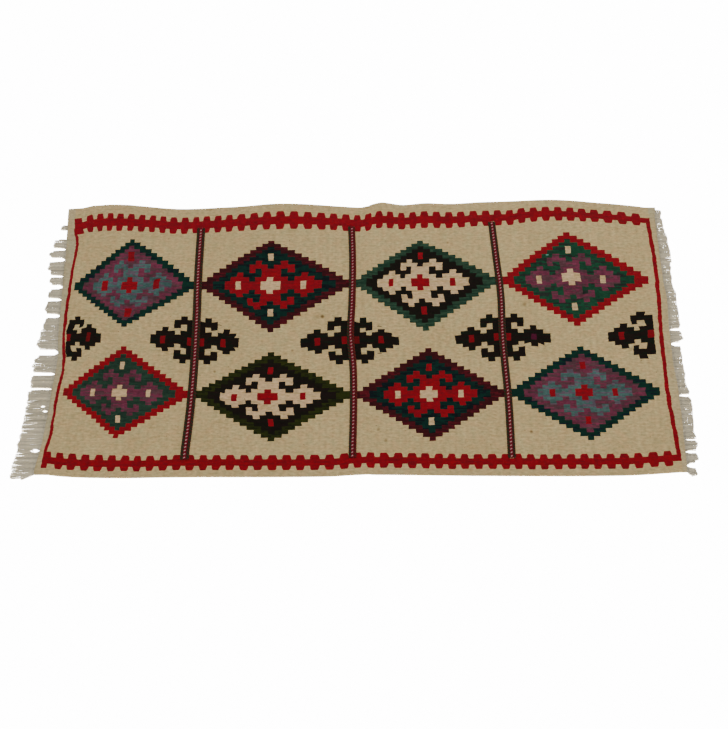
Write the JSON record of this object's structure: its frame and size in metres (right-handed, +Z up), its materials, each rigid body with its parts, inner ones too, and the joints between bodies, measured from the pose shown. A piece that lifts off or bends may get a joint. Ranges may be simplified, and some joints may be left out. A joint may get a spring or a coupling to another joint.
{
  "type": "flatweave rug",
  "caption": "Rectangular flat-woven wool rug with stepped medallions between toothed red bands, raised braids across it and warp fringe at both ends, laid flat.",
  "frame": {"origin": "on the floor, on the flat underside of the cloth, under the middle of the rug", "axes": "+X along the rug from its left fringe to its right fringe, +Y across it from the near long side to the far long side, +Z up from the floor"},
  "size_m": [1.7888, 0.853, 0.0099],
  "materials": {
    "flatweave": "matte weft-faced wool in beige with dyed motifs",
    "braid": "matte plied wool in dark green and dark red with pale flecks",
    "warp_fringe": "matte undyed warp yarn"
  },
  "bodies": {
    "root": {"cloth": "flatweave", "braid_left": "braid", "braid_middle": "braid", "braid_right": "braid", "fringe_left": "warp_fringe", "fringe_right": "warp_fringe"}
  },
  "joints": []
}
